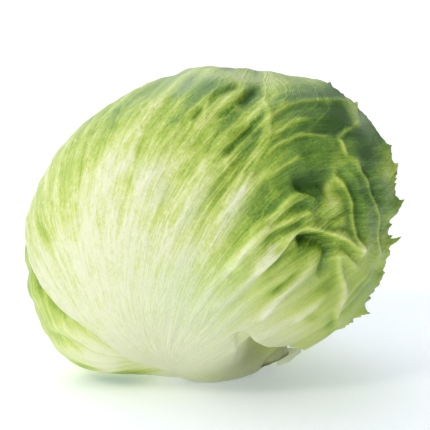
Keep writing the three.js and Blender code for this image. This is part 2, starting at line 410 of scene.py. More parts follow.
FOLDS = {
    "midrib": (0.6, 4, 4, -0.1, [(27, 52), (25, 38), (17, 23), (9, 9), (0, -8), (-6, -24)]),
    "midrib left strand": (
        0.7, 1.1, 1.3, -0.22, [(26, 66), (26, 47), (23, 37), (16, 26), (11, 16), (4, 6)]
    ),
    "midrib right strand": (
        0.7, 1.3, 1.1, -0.2, [(27.5, 60), (27.5, 42), (22, 30), (16, 18), (10, 9), (0, -4)]
    ),
    "first side vein": (
        0.6, 0.8, 1.0, -0.25, [(26, 47), (31, 52.5), (39, 57.5), (52, 60), (66, 59.5), (71, 57)]
    ),
    "second side vein": (0.6, 0.8, 1.2, -0.3, [(27, 41), (33, 44.5), (40, 49), (50, 51)]),
    "third side vein": (
        0.8, 0.8, 1.3, -0.35, [(24, 30), (31, 37), (37, 40), (44, 42.5), (58, 41.5), (62, 41)]
    ),
    "star branch up": (0.7, 1.0, 1.0, -0.5, [(60, 41), (64, 43), (69, 47)]),
    "star branch down": (0.7, 1.0, 1.0, -0.45, [(61, 42), (64, 37), (65, 30)]),
    "star to the crest": (0.5, 1.0, 1.4, -0.25, [(66, 44), (70, 47), (74, 50)]),
    "ridge under the veins": (
        1.8, 2.0, 4.5, -0.1, [(8, 2), (20, 16), (31, 25.5), (38, 30), (46, 34)]
    ),
    "ridge edge": (0.4, 0.8, 0.8, -0.35, [(26, 20), (31, 24.5), (38, 29), (45, 33)]),
    "second ridge": (1.2, 1.6, 3.5, -0.05, [(12, -6), (22, 5), (33, 13), (42, 19)]),
    "top fold": (-2.0, 1.1, 2.4, 0.12, [(12, 56), (15, 61), (18.5, 64), (22, 66), (27, 67.5)]),
    "top fold lip": (1.6, 2.0, 1.4, -0.15, [(3, 53), (9.5, 59.5), (15, 64), (20, 67)]),
    "upper crease": (-1.5, 1.0, 1.8, 0.15, [(-4, 56), (1, 62), (6, 65), (11.5, 67), (17, 68.5)]),
    "deep hollow": (-3.0, 4.0, 3.2, 0.2, [(5, 30), (10, 37), (15, 42), (20, 45.5), (26, 47)]),
    "hollow's lip": (1.6, 1.4, 3.0, -0.25, [(4, 24), (9, 32), (14, 38), (19, 42), (22, 47)]),
    "small hollow": (-1.3, 1.2, 1.2, 0.2, [(-11, 49), (-7, 54), (-4, 57)]),
    "shoulder ridge": (3.6, 2.4, 9.0, -0.05, [(8, -26), *SHOULDER, (47, 10.5), (54, 8)]),
    "shoulder crest": (0.6, 1.3, 1.6, -0.2, [(2, -32), (10, -22), *SHOULDER]),
    "shoulder edge": (0.5, 1.0, 1.0, -0.25, [(29, 4), (37, 11), (42, 13), (48, 11.5), (54, 8)]),
    "shoulder hollow": (
        -3.8, 6.0, 2.8, 0.2, [(40, 14.5), (47, 18.5), (54, 19.5), (58, 16), (60, 9)]
    ),
    "under the shoulder": (-1.6, 1.4, 2.2, 0.18, [(24, -4), (31, 0), (38, 6), (43, 8), (50, 6)]),
    "middle fold": (1.8, 1.6, 3.0, -0.12, [(14, -16), (24, -6), (34, -1), (43, 3), (51, 4.5)]),
    "middle fold edge": (0.4, 1.0, 1.0, -0.15, [(24, -6), (34, -1), (43, 3), (51, 4.5)]),
    "under the middle fold": (-1.6, 1.6, 2.4, 0.3, [(22, -13), (30, -6), (38, -3), (47, 1)]),
    "pocket rib": (1.5, 3.0, 2.2, -0.2, [(-2, -45), (9, -39), (17, -31), *POCKET_LIP[:3]]),
    "pocket lip": (3.0, 4.5, 1.5, -0.18, [(20, -28), *POCKET_LIP, (74, -20)]),
    "pocket lip edge": (0.5, 1.2, 0.9, -0.25, POCKET_LIP),
    "pocket": (-6.0, 1.6, 4.2, 0.15, [(40, -11), (44, -8.5), (50, -8.5), (57, -10.5), (62, -13)]),
    "nose crest": (1.8, 7.0, 1.6, -0.15, [(55, 30), (60, 26), (64, 22), *NOSE]),
    "nose edge": (0.5, 1.2, 0.9, -0.3, [(62, 24), *NOSE]),
    "beside the nose": (
        -3.4, 1.5, 6.0, 0.2,
        [(60, 29), (65, 25), (69, 20), (72, 14), (73, 7), (73, 0), (74, -6), (75, -14)],
    ),
    "nose crease": (-1.2, 1.2, 1.2, 0.2, [(68, 5), (62, 2), (56, -1)]),
    "lower nose crease": (-1.0, 1.2, 1.2, 0.2, [(69, -4), (62, -4), (56, -5)]),
    "outer crest": (1.2, 5.0, 1.6, -0.05, [(62, 35), (68, 30), *OUTER_CREST, (81, -26)]),
    "outer crest edge": (0.5, 1.2, 0.9, -0.32, [(66, 32), *OUTER_CREST]),
    "beside the outer crest": (
        -2.4, 1.4, 5.0, 0.12,
        [(72, 30), (76, 26), (80, 20), (83, 13), (86, 6), (87, -1), (86, -9), (85, -17)],
    ),
    "dark fold": (-3.0, 1.5, 2.4, 0.2, [(60, -8), (57, -18), (53, -30)]),
    "lower rib": (
        1.6, 2.0, 1.6, -0.25, [(61, -12), (63, -26), (65, -34), (63, -41), (61, -46), (63, -54)]
    ),
    "flap edge": (1.8, 1.4, 2.0, -0.15, [(61, -13), (65, -17), (70, -22), (73, -25)]),
    "lower vein": (0.9, 2.2, 1.8, -0.25, [(22, -52), (35, -37), (44, -28.5), (53, -17)]),
    "far lower vein": (1.0, 1.8, 1.8, -0.2, [(38, -52), (50, -42), (58, -33)]),
    "lower crease": (-0.9, 1.5, 2.0, 0.2, [(28, -38), (37, -31), (44, -24)]),
    "waist": (-3.5, 8, 8, 0.0, [(94, 6), (92, -6), (90, -18), (86, -32)]),
    "under the overhang": (
        -2.6, 1.2, 9.0, 0.05, [(8, -58), (12, -57), (17, -58), *OVERHANG]
    ),
    "deep under the overhang": (-7.0, 1.2, 9.0, 0.15, [(18, -59), *OVERHANG]),
}

# The left under leaf's own folds, given in the same way. Their greener tint paints shade into its gap
# and hollows.
UNDER_FOLDS = {
    "gap beside the front leaf": (
        -3.0, 1.6, 1.6, 0.35, [(-93, -21), (-90, -30), (-86, -38), (-80, -45), (-72, -50)]
    ),
    "curled margin": (1.6, 2.0, 2.0, 0.15, [(-96, -24), (-93, -33), (-89, -41)]),
    "upper rib": (1.2, 2.0, 2.5, -0.15, [(-84, -50), (-72, -56), (-58, -64), (-44, -71)]),
    "between the ribs": (-1.6, 1.6, 2.2, 0.1, [(-83, -55), (-73, -61), (-62, -67)]),
    "lower rib": (1.2, 1.6, 2.5, -0.1, [(-80, -59), (-70, -65), (-58, -70), (-46, -74)]),
    "blister": (1.4, 2.5, 1.6, -0.1, [(-66, -54), (-58, -58), (-50, -63)]),
}

# The left under leaf's patches: its green middle is its own colour, and the three rows below it are
# painted contact shadow where it meets the ground.
UNDER_PATCHES = {
    "green middle": (-74, -52, 16, 13, -40, 0.28),
    "painted shadow at the lower margin": (-63, -74, 11, 2, -20, 0.6),
    "painted shadow beside the front leaf": (-50, -67, 18, 4, -36, 0.22),
    "painted contact shadow at the ground": (-46, -76.4, 15, 1.1, -2, 0.7),
}

# Pale and green places on the front leaf, seen from the front: where, how long and how wide, the
# turn of the length from level in degrees, and how much greener the leaf is there. Some are painted
# light: sheen and highlights where the leaf faces the light, shade in hollows and a crease, and a
# backlit glow at the right margin.
PATCHES = {
    # Painted sheen on the crown and at its right end, where the crown faces up into the light.
    "painted sheen on the crown": (14, 73, 26, 4.5, -4, -0.4),
    "painted sheen at the crown's right end": (50, 70, 16, 4.5, -8, -0.3),
    "yellow patch by the midrib's top": (33, 67, 9, 4.5, -8, -0.35),
    "light streaks below the crown": (5, 52, 24, 11, 40, -0.3),
    "light place right of the midrib": (33, 47, 12, 7, 90, -0.15),
    # Painted shade in a hollow above the star.
    "painted shade in the hollow above the star": (64, 52, 7, 4.5, 20, 0.25),
    # Painted sheen on a strip along the upper right margin.
    "painted sheen down the upper right": (70, 55, 3.5, 8, 27, -0.7),
    "dark upper right": (66, 62, 15, 7, -40, 0.15),
    "dark right side": (75, 34, 10, 7, 90, 0.25),
    # Painted backlit glow along the right margin's teeth.
    "painted backlit glow on the margin": (88, 25, 16, 5, 100, -0.35),
    "pale lower margin": (88, -6, 4, 13, 0, -0.2),
    "shade beside the nose": (50, 16, 9, 4, -12, 0.2),
    # Painted highlight on the lit nose and on its ridge.
    "painted highlight on the nose": (62, 12, 15, 6.5, 78, -0.42),
    "painted highlight on the nose's ridge": (60, 15.5, 8, 3, 70, -0.45),
    "pale cheek": (70, -30, 15, 9, 75, -0.2),
    "green under the cheek": (72, -37, 12, 6, 50, 0.14),
    "green left side": (-72, 26, 34, 13, 60, 0.24),
    "green lower left side": (-88, -10, 26, 9, 95, 0.16),
    # Painted sheen on the glossy middle and to its left.
    "painted sheen in the middle": (-24, 17, 20, 13, 60, -0.22),
    "painted sheen left of the middle": (-40, 30, 18, 14, 0, -0.12),
    # Painted shade in a small dent.
    "painted shade in a dent": (-41, 19, 4, 1.6, 80, 0.3),
    "green between midrib and pocket": (10, -20, 26, 17, 50, 0.12),
    "green under the shoulder": (27, -2, 26, 17, 60, 0.08),
    "green behind the pocket": (36, -16, 12, 8, 40, 0.16),
    "pale rib to the pocket": (24, -22, 18, 3, 62, -0.25),
    "pale rib behind the pocket": (39, -15, 12, 3.5, 62, -0.22),
    # Painted shade in a low crease.
    "painted shade in the low crease": (15, -26, 6, 3, 40, 0.2),
    "second low streak": (31, -35, 6, 2.5, 40, 0.2),
    "third low streak": (55.5, -36, 6, 3.5, 60, 0.16),
    "fourth low streak": (48, -48, 4, 2.5, 0, 0.2),
    "fifth low streak": (59, -51, 6, 2.6, 75, 0.22),
    "pale base": (30, -55, 22, 9, 25, -0.1),
    "shaded underside": (0, -78, 26, 3, 0, 0.1),
}

# Painted whitish sheen on the front leaf, standing in for the gloss of its wax, given in the same way.
# Where the amount is below nothing, the leaf is a fresher green, which is its own colour.
PAINTED_SHEEN_AND_FRESH_PATCHES = {
    "fresh green of the fan": (-5, -35, 34, 24, -30, -0.35),
    "glossy middle": (-25, 14, 7, 5, 60, 0.5),
    "below the glossy middle": (-12, 3, 20, 5, 62, 0.5),
    "along the midrib": (9, 2, 18, 5, 62, 0.5),
    "left of the glossy middle": (-34, 26, 10, 6, 30, 0.3),
    "crown": (8, 72, 24, 4, -4, 0.45),
    "left of the crown": (-16, 67, 12, 5, 20, 0.4),
    "low rib": (46, -30, 14, 4, 40, 0.3),
    "base": (30, -44, 18, 6, 30, 0.25),
    "strip down the upper right": (74, 51, 3.5, 11, 27, 0.45),
}


def beside(line, right, up):
    """How far places lie to the left of a line, and how much beside it and not past its ends."""
    path = smooth_path(line)
    best = np.full(right.shape, np.inf)
    signed = np.zeros(right.shape)
    along = np.zeros(right.shape)
    length = 0.0
    for (x0, y0), (x1, y1) in zip(path[:-1], path[1:]):
        step = math.hypot(x1 - x0, y1 - y0)
        dx, dy = (x1 - x0) / step, (y1 - y0) / step
        ahead = np.clip((right - x0) * dx + (up - y0) * dy, 0, step)
        off_x, off_y = right - x0 - ahead * dx, up - y0 - ahead * dy
        distance = off_x**2 + off_y**2
        nearer = distance < best
        best = np.where(nearer, distance, best)
        signed = np.where(nearer, np.copysign(np.sqrt(distance), dx * off_y - dy * off_x), signed)
        along = np.where(nearer, length + ahead, along)
        length += step
    fade = min(7.0, length / 3)
    return signed, rise(along, 0, fade) * rise(length - along, 0, fade)


# Where the front view's folds and patches begin to show and where they show in full, in front of
# the head's middle.
SHOWS_FROM, SHOWS_FULLY = -14, 8
# A fold is not worked out more than this many of its widths away.
FOLD_REACH = 2.6


def fold_sum(view, folds):
    """The folds' height at places seen from the front, and how much greener they make the leaf,
    with painted shade in hollows and painted highlight on crests.
    """
    right, up, front = view
    height, tint_with_painted_light = np.zeros(right.shape), np.zeros(right.shape)
    for size, left_width, right_width, greener_with_painted_light, line in folds.values():
        reach = FOLD_REACH * max(left_width, right_width)
        xs, ys = zip(*line)
        near = (right > min(xs) - reach) & (right < max(xs) + reach) & (front > SHOWS_FROM)
        near &= (up > min(ys) - reach) & (up < max(ys) + reach)
        if not near.any():
            continue
        off, beside_it = beside(line, right[near], up[near])
        width = np.where(off > 0, left_width, right_width)
        shown = rise(front[near], SHOWS_FROM, SHOWS_FULLY)
        swell = np.exp(-((off / width) ** 2)) * beside_it * shown
        height[near] += size * swell
        tint_with_painted_light[near] += greener_with_painted_light * swell
    return height, tint_with_painted_light


def patch_sum(view, patches):
    """How much soft patches add up to at places seen from the front."""
    right, up, front = view
    total = np.zeros(right.shape)
    for x, y, long, short, turn, amount in patches.values():
        c, s = math.cos(math.radians(turn)), math.sin(math.radians(turn))
        ahead = (right - x) * c + (up - y) * s
        aside = (up - y) * c - (right - x) * s
        total += amount * np.exp(-((ahead / long) ** 2) - (aside / short) ** 2)
    return total * rise(front, SHOWS_FROM, SHOWS_FULLY)


# ---- Relief -----------------------------------------------------------------------------

# To the right of its midrib the front leaf's veins curl round this place, seen from the front,
# and run level beyond it.
CURL_RIGHT, CURL_UP = 59.5, -17.5
CURL_RADIUS = 40
# The millimetres to a degree that the other veins' pattern is drawn with, across and along.
FLOW_ACROSS, FLOW_ALONG = 1.2, 1.4


def vein_flow(leaf, view, along, across):
    """How far across and along the leaf's veins each point lies, in steps of about a millimetre:
    for the veins of its fan, for those that curl, and how much the curling ones take over."""
    flow = np.stack([across * FLOW_ACROSS, along * FLOW_ALONG, 0 * along], -1)
    if not leaf.is_front:
        return flow, flow, 0 * along
    right, up, front = view
    past, above = right - CURL_RIGHT, up - CURL_UP
    left_of = np.minimum(past, 0)
    away = np.where(above > 0, np.hypot(left_of, above), above)
    run = CURL_RADIUS * np.arctan2(left_of, np.maximum(above, 1)) + np.maximum(past, 0) - front
    curl = np.stack([62 - 0.55 * away, 150 + run, 0 * along], -1)
    beyond_midrib = rise(right, 21, 33) * rise(up, 0, 14)
    curls = np.maximum(beyond_midrib, rise(right, 57, 67) * rise(up, -34, -20))
    return flow, curl, curls * rise(front, -40, -20)


# The fan's ribs and how many degrees it spreads to each side. A rib is this many millimetres
# wide far out and RIB_SWELL more at the heel. The midrib is broader.
RIB_COUNT = 30
RIB_SPREAD = 100
RIB_WIDTH, RIB_SWELL = 0.9, 1.6
MIDRIB_BROADER = 2.6
MEAN_RADIUS = 80


def fan_ribs(leaf, along, start):
    """Ribs that fan out from the heel, with more starting between them further out: their height
    and how much of a rib each point is. The front leaf's midrib is one of its folds."""
    draw = np.random.default_rng(leaf.seed)
    gap = 2 * RIB_SPREAD / RIB_COUNT
    main = np.linspace(-RIB_SPREAD, RIB_SPREAD, RIB_COUNT)
    main = main + draw.uniform(-0.3, 0.3, RIB_COUNT) * gap
    ribs = [(angle, 0.0, draw.uniform(0.55, 1.0), 1.0) for angle in main]
    for angle in main:
        place = angle + draw.uniform(0.35, 0.65) * gap
        ribs.append((place, draw.uniform(22, 70), draw.uniform(0.3, 0.8), 1.0))
    if not leaf.is_front:
        ribs.append((0.0, 0.0, 1.0, MIDRIB_BROADER))
    across = MEAN_RADIUS * math.radians(1) * np.sin(np.radians(along))
    mask = np.zeros_like(along)
    for angle, begin, size, broader in ribs:
        width = broader * (RIB_WIDTH + RIB_SWELL * np.exp(-along / 40))
        one = np.exp(-(((start - angle) * across / width) ** 2)) * size
        mask = np.maximum(mask, one * rise(along, begin, begin + 18))
    return mask * (0.3 + 0.6 * np.exp(-along / 55)), mask


# How wide and how long the uneven streaks of a blade are, in millimetres, and how high they stand.
BROAD_STREAK, BROAD_HEIGHT = (10.8, 77), 0.9
PLEAT, PLEAT_HEIGHT = (5.5, 53), 0.65
FINE_STREAK, FINE_HEIGHT = (2.6, 42), 0.3
PUCKER_SIZE, FRONT_PUCKER_HEIGHT, PUCKER_HEIGHT = 6.5, 0.6, 1.2


def leaf_relief(leaf, places, view, along, across, veins):
    """The height of a leaf's own relief, how much of a rib each point is, and how deep in a pleat."""
    flow, curl, curls = veins
    ribs, mask = fan_ribs(leaf, along, across)

    def streaks(size, layer):
        shift = (leaf.seed % 17, 0, layer)
        straight = noise(flow / (*size, 1) + shift)
        return straight + (noise(curl / (*size, 1) + shift) - straight) * curls

    broad = streaks(BROAD_STREAK, 0) * rise(along, 10, 40)
    pleat = (1 - 2.4 * np.abs(streaks(PLEAT, 9))) * rise(along, 45, 85)
    fine = streaks(FINE_STREAK, 5) * rise(along, 15, 50)
    pucker = noise(places / PUCKER_SIZE) * rise(along, 40, 80)
    pucker = pucker * (FRONT_PUCKER_HEIGHT if leaf.is_front else PUCKER_HEIGHT)
    if leaf.is_front:
        # The fan's ribs fade at the right of the midrib and low on the right.
        right, up = view[:2]
        faded = np.maximum(rise(right, 22, 44), rise(right, -15, 10) * rise(-up, 15, 40))
        plain = 1 - 0.85 * faded
        ribs, mask, pleat = ribs * plain, mask * plain, pleat * (0.4 + 0.6 * plain)
    else:
        mask = mask * (0.75 - 0.35 * rise(along, 40, 90))
    height = ribs + BROAD_HEIGHT * broad + PLEAT_HEIGHT * pleat + FINE_HEIGHT * fine + pucker
    return height, mask, -0.5 * pleat - 0.3 * fine - 0.25 * broad


def leaf_green(leaf, view, along):
    """How green a leaf is, from 0 at its pale base to 1 at its darkest."""
    if not leaf.is_front:
        return 0.75 * rise(along, 25, 110)
    # The front leaf is greener upward, and much greener toward its upper right.
    right, up = view[:2]
    slant = 0.82 * right + 0.57 * up
    green = 0.06 + 0.1 * rise(up, -25, 10) + 0.25 * rise(slant, -45, 5) + 0.12 * rise(up, 5, 55)
    green = green + 0.42 * rise(slant, 0, 48) * (1 - 0.4 * rise(-up, 5, 45))
    return green * rise(along, 5, 62)


# Where the front leaf's margin has teeth, seen from the front: the place, how far the tooth
# stands out, and how wide it is.
TEETH = [
    (58, 69, 1.4, 1.6), (73, 60, 1.8, 1.6), (90, 37, 2, 2.2), (91, 26, 2.6, 2.6), (90, 19, 2, 2),
    (91, 8, 4, 2.4), (89, -11, 7, 1.8), (86, -18, 2.5, 2.6), (83, -26, 2.5, 2.5),
    (77, -49, 4.5, 2.4), (66, -57, 2, 2.5), (57, -64, 4, 2),
]
# Small teeth all along an outer leaf's margin: how far apart, how long and how wide they are.
TOOTH_GAPS = (2, 6)
TOOTH_LENGTHS = (0.5, 3.2)
TOOTH_WIDTHS = (1.2, 2.6)
# The share of the way out at which teeth begin and the share they take up, and the margin's
# distance from the middle.
TEETH_FROM, TEETH_OVER = 0.94, 0.06
EDGE_RADIUS = 85


def tooth_lengths(leaf, edge_places):
    """How far each column's end stands out past the margin."""
    draw = np.random.default_rng(leaf.seed)
    lengths = np.zeros(len(edge_places))
    if leaf.closes:
        return lengths
    steps = np.linalg.norm(np.diff(edge_places, axis=0), axis=-1)
    run = np.concatenate([[0], np.cumsum(steps)])

    def with_tooth(place, size, width):
        return np.maximum(lengths, size * np.clip(1 - np.abs(run - place) / width, 0, 1))

    place = 0.0
    while place < run[-1]:
        lengths = with_tooth(place, draw.uniform(*TOOTH_LENGTHS), draw.uniform(*TOOTH_WIDTHS))
        place += draw.uniform(*TOOTH_GAPS)
    if leaf.is_front:
        right, up, front = front_view(edge_places)
        x, _, z = edge_places.T
        lengths = lengths * (0.2 + 0.8 * rise(x, 30, 60) * rise(-z, -120, -105))
        behind = 99 * (front < -45)
        for tooth_right, tooth_up, size, width in TEETH:
            nearest = np.argmin(np.hypot(right - tooth_right, up - tooth_up) + behind)
            lengths = with_tooth(run[nearest], size, width)
    return lengths


def toothed_grid(leaf):
    """The directions of the leaf's grid, with its last rows drawn out into teeth, the share of
    the way out of each, and how far the teeth draw it out."""
    along, across, out = fan_grid(leaf)
    edge = leaf.direction(along[-1], across[-1])
    lengths = tooth_lengths(leaf, HEAD_CENTRE + edge * head_radius(edge)[..., None])
    drawn = np.clip((out - TEETH_FROM) / TEETH_OVER, 0, 1)
    along = along + np.degrees(lengths / EDGE_RADIUS) * drawn
    return leaf.direction(along, across), out, lengths * drawn


# The leaves under the front one stay clear of its pocket: its place seen from the front, how
# wide and high it is, and how far they draw back.
POCKET_RIGHT, POCKET_UP = 44, -7
POCKET_WIDE, POCKET_HIGH = 14, 8
POCKET_DEPTH = 2.6


def leaf_folds(leaf, surface_view, view):
    """The height of a leaf's folds, and how much greener they make it, from how the head's surface
    over each point is seen and how the point itself is. The tint holds painted shade in hollows and
    painted highlight on crests. The leaves under the front one lie back where it has hollows."""
    folds, tint_with_painted_light = fold_sum(surface_view, FOLDS)
    if leaf.is_front:
        return folds, tint_with_painted_light + patch_sum(surface_view, PATCHES)
    right, up, front = view
    off = ((right - POCKET_RIGHT) / POCKET_WIDE) ** 2 + ((up - POCKET_UP) / POCKET_HIGH) ** 2
    back = POCKET_DEPTH * np.exp(-off) * rise(front, SHOWS_FROM, SHOWS_FULLY)
    folds = np.minimum(folds, 0) - back
    if leaf.name != "left_under_leaf":
        return folds, 0 * folds
    own_folds, tint_with_painted_light = fold_sum(surface_view, UNDER_FOLDS)
    return folds + own_folds, tint_with_painted_light + patch_sum(surface_view, UNDER_PATCHES)


# The margin of an outer leaf waves in and out. The front leaf's is pressed down at its left and
# stands away from the head at its right.
MARGIN_FROM = 0.8
WAVE_LENGTH, WAVE_HEIGHT, MARGIN_STANDS = 9, 1.6, 0.5
FLARE, PRESSED = 0.4, 2.3


def margin_height(leaf, places, out, hidden):
    """How far a leaf stands off near its margin."""
    if leaf.closes:
        return 0.0
    near_margin = np.clip((out - MARGIN_FROM) / (1 - MARGIN_FROM), 0, 1) ** 2
    wave = WAVE_HEIGHT * noise(places / WAVE_LENGTH) + MARGIN_STANDS
    if not leaf.is_front:
        return near_margin * (1 - hidden) * wave
    x, z = places[..., 0], places[..., 2]
    to_right = rise(x, -20, 50)
    flare = FLARE * rise(x, 40, 75) * rise(z, 8, 30)
    return near_margin * (flare + (0.15 + 0.6 * to_right) * wave - PRESSED * (1 - to_right))


def lowest_near(height):
    """The lowest height within two steps of each point, so that the inner side clears sharp folds."""
    lowest = height.copy()
    for turn in (-2, -1, 1, 2):
        lowest = np.minimum(lowest, np.roll(height, turn, 1))
        lowest[2:-2] = np.minimum(lowest[2:-2], height[2 + turn : len(height) - 2 + turn])
    lowest[-1] = height[-1]
    return lowest


# Painted shadow: an olive darkening of the front leaf's underside below its overhang, where it lies
# on the ground.
PAINTED_SHADE_PATCHES = {"painted shadow on the underside": (18, -72.5, 22, 7.5, 17.5, 0.6)}
# How much of their streaks the leaves under the front one show.
UNDER_STREAKY = 0.65


def colour_layers(leaf, view, along, green, rib, veins):
    """What the blade's material needs to know at each point of a leaf."""
    right, up = view[:2]
    flow, curl, curls = veins
    # The front leaf is smooth low on the right of its base and at the left of its top.
    smooth_base = rise(right, -12, 18) * rise(-up, 5, 40)
    smooth_top = rise(up, 58, 69) * rise(-right, -32, -14)
    streaky = 1 - 0.75 * np.maximum(smooth_base, smooth_top)
    streaky = streaky * (1 - 0.4 * curls) * (0.3 + 0.6 * rise(along, 8, 50)) * (1 + 0.2 * green)
    return {
        "rib": np.clip(rib, 0, 1),
        "green": green,
        "streaky": streaky * (1.0 if leaf.is_front else UNDER_STREAKY),
        "flow": flow,
        "curl": curl,
        "curls": curls,
        # Painted shadow below the front leaf's overhang.
        "painted_shade": patch_sum(view, PAINTED_SHADE_PATCHES),
        # Painted sheen, and the leaf's own fresher green where the amount is below nothing.
        "painted_sheen_and_fresh": patch_sum(view, PAINTED_SHEEN_AND_FRESH_PATCHES if leaf.is_front else {}),
    }


# How much of its relief a leaf keeps under another, and where relief begins, in degrees along.
HIDDEN_RELIEF = 0.25
RELIEF_FROM, RELIEF_FULL = 0, 12
VALLEY_GREEN = 0.22
# A blade's thickness at its margin and how much thicker it is at the heel, with the leaf's first
# point inside.
EDGE_THICKNESS, HEEL_THICKER, FIRST_THICKNESS = 0.45, 0.55, 1.4
# How near the ground a leaf's inner side and the torn leaf base come.
GROUND_CLEARANCE = 0.3


def build_leaf(leaf, before):
    """A leaf as a closed shell that lies under the leaves before it."""
    direction, out, teeth = toothed_grid(leaf)
    ground = head_radius(direction)
    radius = ground - depth_under(direction, before)
    hidden = np.clip((ground - radius) / LEAF_PITCH, 0, 1)
    places = HEAD_CENTRE + direction * radius[..., None]
    view = front_view(places)
    along, across = leaf.ribs(direction)
    veins = vein_flow(leaf, view, along, across)
    relief, rib, valley = leaf_relief(leaf, places, view, along, across, veins)
    relief = relief * (1 - (1 - HIDDEN_RELIEF) * hidden) * rise(along, RELIEF_FROM, RELIEF_FULL)
    surface_view = front_view(HEAD_CENTRE + direction * ground[..., None])
    folds, tint_with_painted_light = leaf_folds(leaf, surface_view, view)
    relief = relief + folds + margin_height(leaf, places, out, hidden)
    # The tint adds painted shade and painted highlight to the leaf's green.
    green = leaf_green(leaf, view, along) + tint_with_painted_light + VALLEY_GREEN * valley
    # The relief flattens out where the leaf lies on the ground.
    height = radius + relief * rise(places[..., 2], 0.5, 9) + (1 - hidden) * teeth
    outside = HEAD_CENTRE + direction * height[..., None]
    outside[..., 2] = np.maximum(outside[..., 2], 0.0)
    under = lowest_near(height) - EDGE_THICKNESS - HEEL_THICKER * (1 - out) ** 0.5
    inside = inner_part(HEAD_CENTRE + direction * under[..., None])
    inside[..., 2] = np.maximum(inside[..., 2], GROUND_CLEARANCE)
    top = outside[0].mean(0)
    bottom = top - leaf.grid_from * FIRST_THICKNESS
    layers = colour_layers(leaf, view, along, green, rib, veins)
    return shell(leaf.name + "_blade", outside, inside, top, bottom, layers)


# ---- The heart, the stem and the leaf stub ------------------------------------------------

HEART_ROWS, HEART_COLUMNS = 80, 160
# The angle short of each pole at which the heart's grid ends.
HEART_POLE_GAP = 0.03
HEART_CRUMPLE, HEART_GAP = 2.0, 1.5


def build_heart():
    """The crumpled young leaves at the middle of the head."""
    top = math.pi / 2 - HEART_POLE_GAP
    up = np.linspace(-top, top, HEART_ROWS)[:, None]
    turn = np.linspace(0, 2 * math.pi, HEART_COLUMNS, endpoint=False)[None]
    level = np.cos(up)
    direction = np.stack([level * np.cos(turn), level * np.sin(turn), np.sin(up) + 0 * turn], -1)
    radius = head_radius(direction) - depth_under(direction, len(LEAVES)) - LEAF_PITCH
    crumple = 1 - 2.2 * np.abs(noise(direction * 3.2 + 5)) - 1.2 * np.abs(noise(direction * 8 + 9))
    radius = radius + HEART_CRUMPLE * crumple - HEART_GAP
    places = HEAD_CENTRE + direction * radius[..., None]
    return body("heart_leaves", places, {"green": 0.25 + 0.2 * crumple})


STEM_TOP_RADIUS = 8.0
STEM_LENGTH = 62.0
STEM_EDGE = 1.4
# The rings of the stem's grid: over its cut face, round the edge and up its side.
FACE_RINGS, EDGE_RINGS, SIDE_RINGS = 14, 6, 70
STEM_COLUMNS = 120
STEM_CLEARANCE = 0.4
FACE_MIDDLE = 0.06
# The saw's marks on the cut face: their height, and how wide and how long they are.
SAW_HEIGHT, SAW_WIDE, SAW_LONG = 0.35, 3, 11


def build_stem():
    """The cut stem, from its cut face up to its thin top inside the head."""
    side_on = unit(np.cross(STEM_DIRECTION, OUT_OF))
    front_on = np.cross(side_on, STEM_DIRECTION)
    above = np.linspace(STEM_EDGE + 0.6, STEM_LENGTH, SIDE_RINGS)
    up = np.concatenate([np.zeros(FACE_RINGS), np.linspace(0, STEM_EDGE, EDGE_RINGS), above])
    face = np.linspace(FACE_MIDDLE, 1, FACE_RINGS) * (STEM_RADIUS - STEM_EDGE)
    rounded = STEM_EDGE * (1 - np.sqrt(1 - (1 - np.linspace(0, 1, EDGE_RINGS)) ** 2))
    side = STEM_RADIUS + (STEM_TOP_RADIUS - STEM_RADIUS) * rise(above, 4, STEM_LENGTH)
    radius = np.concatenate([face, STEM_RADIUS - rounded, side])[:, None]
    up = up[:, None]
    turn = np.linspace(0, 2 * math.pi, STEM_COLUMNS, endpoint=False)[None]
    x, y = np.cos(turn), np.sin(turn)
    ring = np.stack([x + 0 * radius, y + 0 * radius, 0 * turn + up / 14], -1)
    on_face = np.clip(1 - up / STEM_EDGE, 0, 1)
    bulges, dents = noise(ring * (1.3, 1.3, 0.6) + 3), noise(ring * (4, 4, 1) + 7)
    uneven = 1 + 0.05 * bulges + 0.02 * dents * (1 - on_face)
    marks = noise(np.stack([radius * x / SAW_WIDE, radius * y / SAW_LONG, 0 * radius * turn], -1))
    around = x[..., None] * side_on + y[..., None] * front_on
    away = (up + SAW_HEIGHT * marks * on_face)[..., None] * STEM_DIRECTION
    places = CUT_END - away + around * (radius * uneven)[..., None]
    places[..., 2] = np.maximum(places[..., 2], STEM_CLEARANCE)
    from_rim = np.where(up > 0, up, STEM_RADIUS - STEM_EDGE - radius)
    brown = 1 - rise(from_rim + 0.8 * noise(ring * 5), 0.3, 2.2)
    return body("cut_stem", places, {"brown": brown})


STUB_MIDDLE = np.array([39.0, -4.0, 5.0])
STUB_LENGTH, STUB_HEIGHT, STUB_THICKNESS = 12.0, 9.5, 1.3
STUB_ROWS, STUB_COLUMNS = 40, 48
# How far the stub's torn end is uneven, and how far its middle bows out.
TEAR, BOW = 0.8, 1.6


